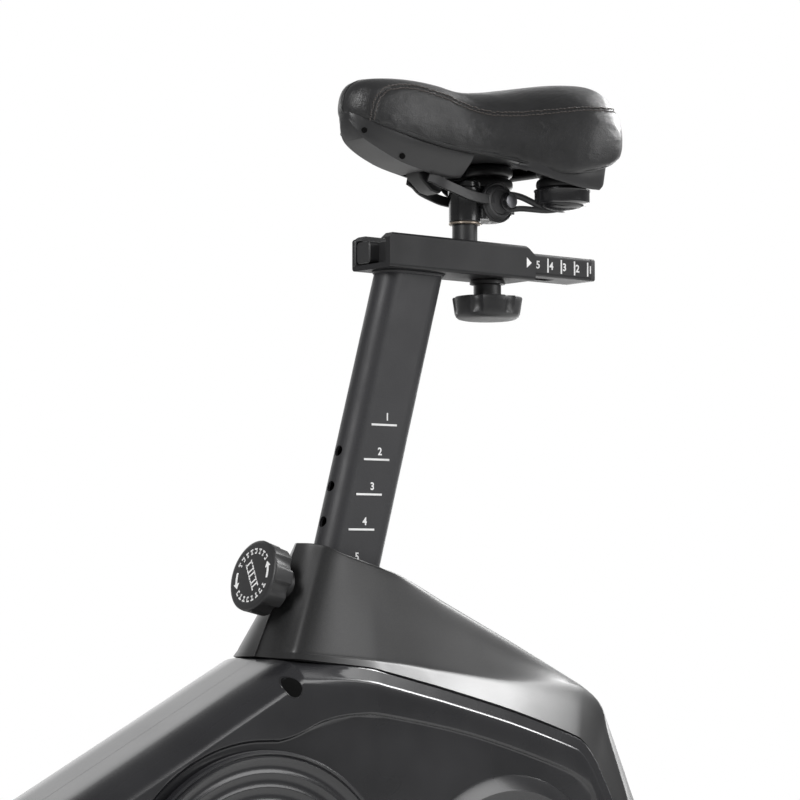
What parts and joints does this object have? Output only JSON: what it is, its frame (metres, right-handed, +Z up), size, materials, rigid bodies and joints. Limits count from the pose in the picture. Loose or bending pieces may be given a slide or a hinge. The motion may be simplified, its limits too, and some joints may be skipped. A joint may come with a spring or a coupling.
{
  "type": "exercise bike",
  "caption": "Upright belt-drive exercise bike with a sprung saddle on a height-adjustable post and a fore-aft slider, flywheel casing, cranks, pedals, mast and handlebar.",
  "frame": {"origin": "on the floor under the middle of the bike's bounding box", "axes": "+X forward, +Y the rider's left, +Z up"},
  "size_m": [1.0501, 0.52, 1.1683],
  "materials": {
    "black_steel": "satin black powder coat",
    "bright_steel": "zinc plated",
    "casing_plastic": "gloss black",
    "black_plastic": "fine grain",
    "rubber": "matt",
    "iron": "turned",
    "screen": "clear over grey",
    "button_grey": "matt",
    "cover_leather": "pebbled, stitched"
  },
  "bodies": {
    "frame": {"main_beam": "black_steel", "seat_tube": "black_steel", "seat_tube_bush": "black_plastic", "pin_collar": "bright_steel", "bb_plates": "black_steel", "bb_shell": "black_steel", "bearings": "bright_steel", "flywheel_plates": "black_steel", "mast": "black_steel", "front_stabiliser": "black_steel", "rear_stabiliser": "black_steel", "stabiliser_caps": "black_plastic", "wheel_axles": "bright_steel", "stabiliser_bolts": "bright_steel", "casing_left": "casing_plastic", "casing_right": "casing_plastic", "cover_left": "casing_plastic", "cover_right": "casing_plastic", "casing_screws": "bright_steel", "belt": "rubber", "console": "casing_plastic", "console_screen": "screen", "bar_clamp": "black_plastic"},
    "foot_left": {"foot_left": "rubber"},
    "foot_right": {"foot_right": "rubber"},
    "wheel_left": {"transport_wheel_left": "rubber"},
    "wheel_right": {"transport_wheel_right": "rubber"},
    "cranks": {"crank_axle": "bright_steel", "pulley": "black_plastic", "crank_left": "black_steel", "crank_right": "black_steel", "disc_left": "casing_plastic", "disc_right": "casing_plastic"},
    "pedal_left": {"pedal_left": "black_plastic"},
    "pedal_right": {"pedal_right": "black_plastic"},
    "flywheel": {"flywheel": "iron", "flywheel_axle": "bright_steel"},
    "brake": {"brake_bracket": "iron"},
    "handlebar": {"handlebar": "black_steel", "grip_left": "rubber", "grip_right": "rubber"},
    "bar_knob": {"bar_knob": "black_plastic"},
    "button_up": {"button_up": "button_grey"},
    "button_down": {"button_down": "button_grey"},
    "seat_post": {"seat_post": "black_steel", "sleeve": "black_steel"},
    "pull_pin": {"pull_pin": "bright_steel"},
    "pull_knob": {"pull_knob": "black_plastic"},
    "slider": {"slider": "black_steel", "slider_caps": "black_plastic", "seat_shaft": "black_steel"},
    "clamp_knob": {"clamp_knob": "black_plastic"},
    "saddle_clamp": {"saddle_clamp": "black_steel"},
    "saddle": {"clamp_bolt": "bright_steel", "saddle_frame": "black_steel", "spring_left": "rubber", "spring_right": "rubber", "saddle_pan": "black_plastic", "saddle_cushion": "cover_leather"}
  },
  "joints": [
    {"name": "seat_height", "type": "slide", "parent": "frame", "child": "seat_post", "axis": [-0.2656, 0, 0.9641], "range_m": [-0.124, 0.062]},
    {"name": "height_pin_pull", "type": "slide", "parent": "frame", "child": "pull_pin", "axis": [0.9641, 0, 0.2656], "range_m": [-0.003, 0.01]},
    {"name": "height_knob_turn", "type": "hinge", "parent": "pull_pin", "child": "pull_knob", "pos_m": [0.02988, 0, 0.55926], "axis": [0.9641, 0, 0.2656], "range_deg": [-180, 180]},
    {"name": "seat_fore_aft", "type": "slide", "parent": "seat_post", "child": "slider", "axis": [1, 0, 0], "range_m": [0, 0.068]},
    {"name": "fore_aft_knob_turn", "type": "hinge", "parent": "seat_post", "child": "clamp_knob", "pos_m": [-0.211, 0, 0.8], "axis": [0, 0, 1], "range_deg": [-180, 180]},
    {"name": "saddle_swivel", "type": "hinge", "parent": "slider", "child": "saddle_clamp", "pos_m": [-0.185, 0, 0.89], "axis": [0, 0, 1], "range_deg": [-15, 15]},
    {"name": "saddle_tilt", "type": "hinge", "parent": "saddle_clamp", "child": "saddle", "pos_m": [-0.2195, 0, 0.886], "axis": [0, 1, 0], "range_deg": [-12, 12]},
    {"name": "flywheel_spin", "type": "hinge", "parent": "frame", "child": "flywheel", "pos_m": [-0.181, 0, 0.273], "axis": [0, 1, 0], "continuous": true},
    {"name": "crank_spin", "type": "hinge", "parent": "frame", "child": "cranks", "pos_m": [0.079, 0, 0.29], "axis": [0, 1, 0], "continuous": true},
    {"name": "pedal_left_spin", "type": "hinge", "parent": "cranks", "child": "pedal_left", "pos_m": [0.244, 0.148, 0.29], "axis": [0, 1, 0], "continuous": true},
    {"name": "pedal_right_spin", "type": "hinge", "parent": "cranks", "child": "pedal_right", "pos_m": [-0.086, -0.148, 0.29], "axis": [0, 1, 0], "continuous": true},
    {"name": "brake_swing", "type": "hinge", "parent": "frame", "child": "brake", "pos_m": [-0.095, 0, 0.359], "axis": [0, 1, 0], "range_deg": [0, 5]},
    {"name": "handlebar_tilt", "type": "hinge", "parent": "frame", "child": "handlebar", "pos_m": [0.48, 0, 1.065], "axis": [0, 1, 0], "range_deg": [-15, 20]},
    {"name": "handlebar_knob_turn", "type": "hinge", "parent": "frame", "child": "bar_knob", "pos_m": [0.433, 0, 1.05], "axis": [0, 0, 1], "range_deg": [-180, 180]},
    {"name": "button_up_press", "type": "slide", "parent": "frame", "child": "button_up", "axis": [0.5736, 0, -0.8192], "range_m": [0, 0.002], "stiffness_N_per_m": 400, "springref_m": -0.001},
    {"name": "button_down_press", "type": "slide", "parent": "frame", "child": "button_down", "axis": [0.5736, 0, -0.8192], "range_m": [0, 0.002], "stiffness_N_per_m": 400, "springref_m": -0.001},
    {"name": "wheel_left_spin", "type": "hinge", "parent": "frame", "child": "wheel_left", "pos_m": [0.484, 0.236, 0.032], "axis": [0, 1, 0], "continuous": true},
    {"name": "wheel_right_spin", "type": "hinge", "parent": "frame", "child": "wheel_right", "pos_m": [0.484, -0.236, 0.032], "axis": [0, 1, 0], "continuous": true},
    {"name": "foot_left_level", "type": "slide", "parent": "frame", "child": "foot_left", "axis": [0, 0, -1], "range_m": [0, 0.008]},
    {"name": "foot_right_level", "type": "slide", "parent": "frame", "child": "foot_right", "axis": [0, 0, -1], "range_m": [0, 0.008]}
  ],
  "couplings": [
    {"joint": "crank_spin", "follows": "flywheel_spin", "ratio": 0.25}
  ]
}
